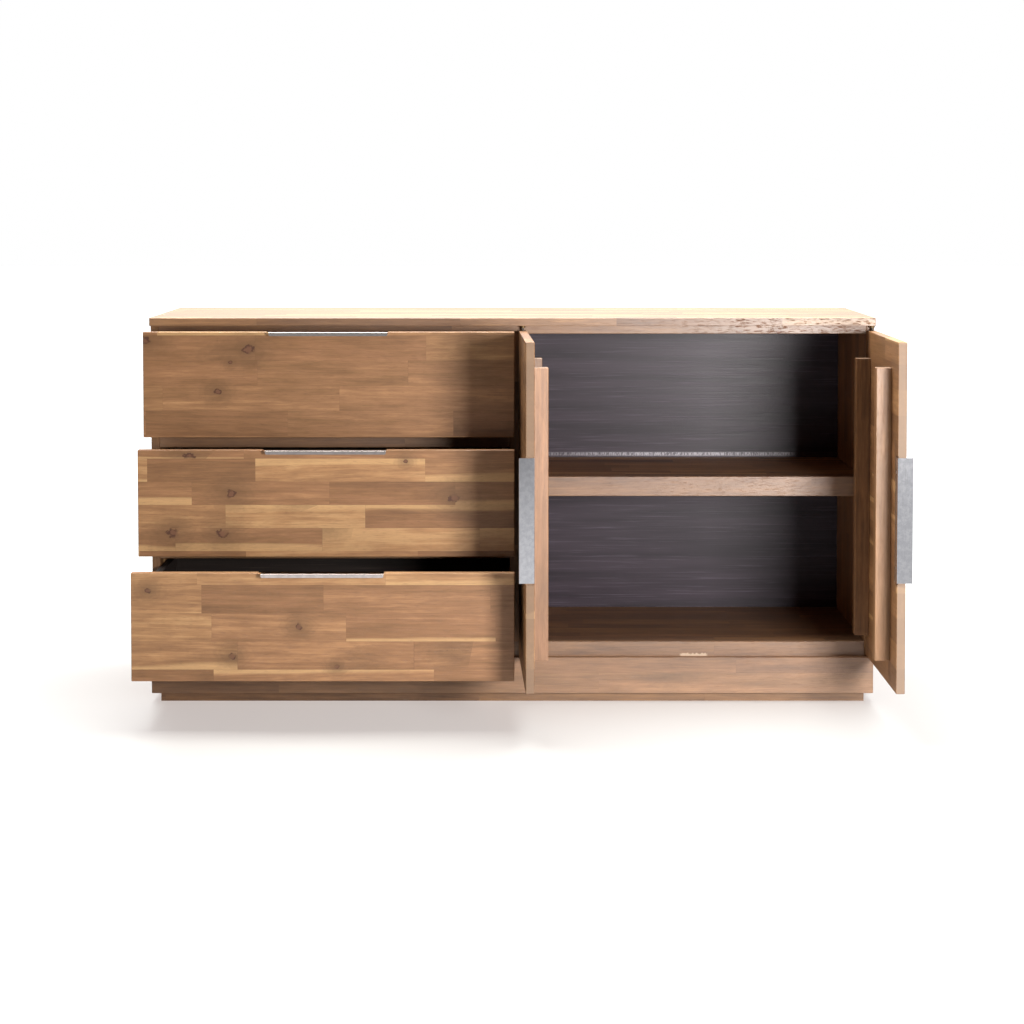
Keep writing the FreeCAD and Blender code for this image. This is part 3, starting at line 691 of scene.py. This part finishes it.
def dress_all():
    """Give every CAD node its finish."""
    for place, (node, (grain, across, look)) in enumerate(BOARDS.items()):
        seed = SEEDS.get(node, FIRST_SEED + SEED_STEP * place)
        material = acacia(f"acacia_{node}", grain, across, look, seed, KNOTS.get(node, ()),
                          sheen_and_specks=node in SHEENED_AND_SPECKED_ENDS, worn=WORN_PATCHES.get(node),
                          edge=EDGE_HIGHLIGHTS.get(node, END_GRAIN_AND_SHEEN))
        dress(node, material)
    back = charcoal("charcoal_back", "X", "Z", CHARCOAL, BACK_ROUGHNESS, SHELF_SCUFFS)
    dress("back_panel", back)
    dark_side = charcoal("charcoal_drawer_side", "Y", "Z", DARK_BROWN_AND_SHADE, DRAWER_ROUGHNESS)
    dark_cross = charcoal("charcoal_drawer_cross", "X", "Z", DARK_BROWN_AND_SHADE, DRAWER_ROUGHNESS)
    dark_bottom = charcoal("charcoal_drawer_bottom", "X", "Y", DARK_BROWN_AND_SHADE, DRAWER_ROUGHNESS)
    metal_along_x = brushed_metal("brushed_metal_drawers", "X", *DRAWER_METAL)
    metal_along_z = brushed_metal("brushed_metal_doors", "Z", *DOOR_METAL)
    screw = turned_metal("screw_steel", *SCREW_STEEL)
    pivot = turned_metal("pivot_steel", *PIVOT_STEEL)
    brass = turned_metal("pivot_brass", *BUSH_BRASS)
    for name in DRAWERS:
        dress(f"{name}_drawer_left", dark_side)
        dress(f"{name}_drawer_right", dark_side)
        dress(f"{name}_drawer_inner_front", dark_cross)
        dress(f"{name}_drawer_back", dark_cross)
        dress(f"{name}_drawer_bottom", dark_bottom)
        dress(f"{name}_drawer_handle", metal_along_x)
        dress(f"{name}_drawer_screws", screw)
    for name in DOORS:
        dress(f"{name}_door_handle", metal_along_z)
        dress(f"{name}_door_screws", screw)
        dress(f"{name}_door_pivot_pins", pivot)
    dress("pivot_bushes", brass)
    runner = hardwood("runner_hardwood", "Y")
    dress("left_runners", runner)
    dress("right_runners", runner)


# The room: a pale floor, a white background and soft studio lights

WHITE = (1.0, 1.0, 1.0, 1.0)
FLOOR_REACH = 30.0
FLOOR_COLOUR = (0.385, 0.415, 0.425, 1.0)
# The floor's warm glow near the object is a painted bounce of light off the wood into its shadow,
# and it also lights the object's foot
FLOOR_GLOW_WARM_BOUNCE = (0.485, 0.43, 0.408, 1.0)
FLOOR_ROUGHNESS = 0.5
FLOOR_SHEEN = 0.2
FADE_START = 1.0
FADE_END = 2.2

# What mirrors see of the floor: its level far in front, near and to the right, and a painted
# shadow of the drawers in front of them
DIM_START = -1.5
DIM_END = -6.5
DIM_FLOOR = 0.35
BRIGHT_FLOOR = 0.94
RIGHT_FLOOR = 0.68
RIGHT_START = 0.5
RIGHT_FULL = 1.0
DRAWER_SHADOW_Y = (-1.4, -0.8)
DRAWER_SHADOW_X = (0.1, -0.1)
DRAWER_SHADOW_LOSS = 0.9

# What mirrors see of the room, low and high, and of the wall behind the object
ROOM_LOW = 0.01
ROOM_HIGH = 0.05
LOW_BEHIND = 0.60
BRIGHT_BEHIND = 2.75
RISE_ROOM = (-0.05, 0.8)
RISE_BEHIND = (0.10, 0.28)
TURN_BEHIND = (-0.2, 0.3)


def make_floor():
    """A wide pale floor at the object's foot, which fades to white away from it. Near the object
    it glows warm, a painted bounce light, and that glow also lights the object's foot.

    Mirrors see it evenly lit, brightest in front of the object, with a painted shadow of the
    drawers in front of them.
    """
    mesh = bpy.data.meshes.new("floor")
    shape = bmesh.new()
    bmesh.ops.create_grid(shape, x_segments=1, y_segments=1, size=FLOOR_REACH)
    shape.to_mesh(mesh)
    shape.free()
    floor = bpy.data.objects.new("floor", mesh)
    bpy.context.collection.objects.link(floor)
    material, graph, shader = new_material("floor_white")
    shader.inputs["Base Color"].default_value = FLOOR_COLOUR
    shader.inputs["Roughness"].default_value = FLOOR_ROUGHNESS
    shader.inputs["Specular IOR Level"].default_value = FLOOR_SHEEN
    place = graph.add("TexCoord").outputs["Object"]
    away = graph.add("VectorMath", {0: place}, operation="LENGTH").outputs["Value"]
    pale = graph.mix(graph.ramp(away, FADE_START, FADE_END), FLOOR_GLOW_WARM_BOUNCE, WHITE)
    path = graph.add("LightPath").outputs
    direct = graph.math("MAXIMUM", path["Is Camera Ray"], path["Is Transmission Ray"])
    near = graph.ramp(away, FADE_START, FADE_END, 1.0, 0.0)
    bounced = graph.math("MULTIPLY", path["Is Diffuse Ray"], near)
    seen = graph.math("MAXIMUM", direct, bounced)
    glow = graph.add("Emission", {"Color": pale, "Strength": seen})
    both = graph.add("AddShader", {0: shader.outputs[0], 1: glow.outputs[0]})
    here = graph.split(place)
    level = graph.ramp(here["Y"], DIM_END, DIM_START, DIM_FLOOR, BRIGHT_FLOOR)
    to_right = graph.ramp(here["X"], RIGHT_START, RIGHT_FULL, level, RIGHT_FLOOR)
    painted_drawer_shadow = graph.math("MULTIPLY", graph.ramp(here["Y"], *DRAWER_SHADOW_Y),
                           graph.ramp(here["X"], *DRAWER_SHADOW_X))
    kept = graph.math("MULTIPLY_ADD", painted_drawer_shadow, -DRAWER_SHADOW_LOSS, 1.0)
    mirrored = graph.math("MULTIPLY", to_right, kept)
    even = graph.add("Emission", {"Color": WHITE, "Strength": mirrored})
    surface = graph.add("MixShader", {0: path["Is Glossy Ray"], 1: both.outputs[0],
                                      2: even.outputs[0]})
    output = next(n for n in graph.tree.nodes if n.type == "OUTPUT_MATERIAL")
    graph.feed(output.inputs["Surface"], surface.outputs[0])
    mesh.materials.append(material)


def make_world():
    """White where it is seen, and a dim room to all else.

    Mirrors also see the bright wall behind the object, which is brightest high up.
    """
    world = bpy.data.worlds.new("studio")
    bpy.context.scene.world = world
    world.use_nodes = True
    graph = Graph(world.node_tree)
    way = graph.split(graph.add("TexCoord").outputs["Generated"])
    room = graph.ramp(way["Z"], *RISE_ROOM, ROOM_LOW, ROOM_HIGH)
    risen = graph.ramp(way["Z"], *RISE_BEHIND, LOW_BEHIND, BRIGHT_BEHIND)
    behind = graph.ramp(way["Y"], *TURN_BEHIND, room, risen)
    path = graph.add("LightPath").outputs
    mirrored = graph.math("MAXIMUM", path["Is Glossy Ray"], path["Is Transmission Ray"])
    unseen = graph.mix_numbers(mirrored, room, behind)
    strength = graph.mix_numbers(path["Is Camera Ray"], unseen, 1.0)
    sky = graph.add("Background", {"Color": WHITE, "Strength": strength})
    output = graph.add("OutputWorld")
    graph.feed(output.inputs["Surface"], sky.outputs[0])


def add_lamp(name, place, target, width, height, power, tint):
    """A soft rectangular lamp that faces a target."""
    data = bpy.data.lights.new(name, "AREA")
    data.shape = "RECTANGLE"
    data.size = width
    data.size_y = height
    data.energy = power
    data.color = tint
    lamp = bpy.data.objects.new(name, data)
    lamp.location = place
    towards = Vector(target) - lamp.location
    lamp.rotation_euler = towards.to_track_quat("-Z", "Y").to_euler()
    bpy.context.collection.objects.link(lamp)


LAMPS = {
    # name: (place, target, width, height, watts, tint)
    "key": ((1.25, -2.75, 0.80), (0.0, -0.2, 0.45), 0.66, 0.60, 84.0, (1.0, 0.98, 0.96)),
    "overhead": ((0.0, 0.3, 3.3), (0.0, 0.3, 0.0), 2.6, 1.8, 215.0, (1.0, 0.965, 0.91)),
}

CAMERA_PLACE = (-0.001, -5.0164, 1.1200)
CAMERA_PITCH = 2.526
CAMERA_LENS = 76.65
CAMERA_SENSOR = 36.0
CAMERA_SHIFT = -0.2133


def make_camera():
    """The photograph's view: a long lens from well above the top, looking a little down."""
    data = bpy.data.cameras.new("camera")
    data.lens = CAMERA_LENS
    data.sensor_width = CAMERA_SENSOR
    data.sensor_fit = "HORIZONTAL"
    data.shift_y = CAMERA_SHIFT
    camera = bpy.data.objects.new("camera", data)
    camera.location = CAMERA_PLACE
    camera.rotation_euler = (math.radians(90.0 - CAMERA_PITCH), 0.0, 0.0)
    bpy.context.collection.objects.link(camera)
    bpy.context.scene.camera = camera


dress_all()
make_floor()
make_world()
for lamp_name, facts in LAMPS.items():
    add_lamp(lamp_name, *facts)
make_camera()
bpy.context.scene.view_settings.view_transform = "Standard"
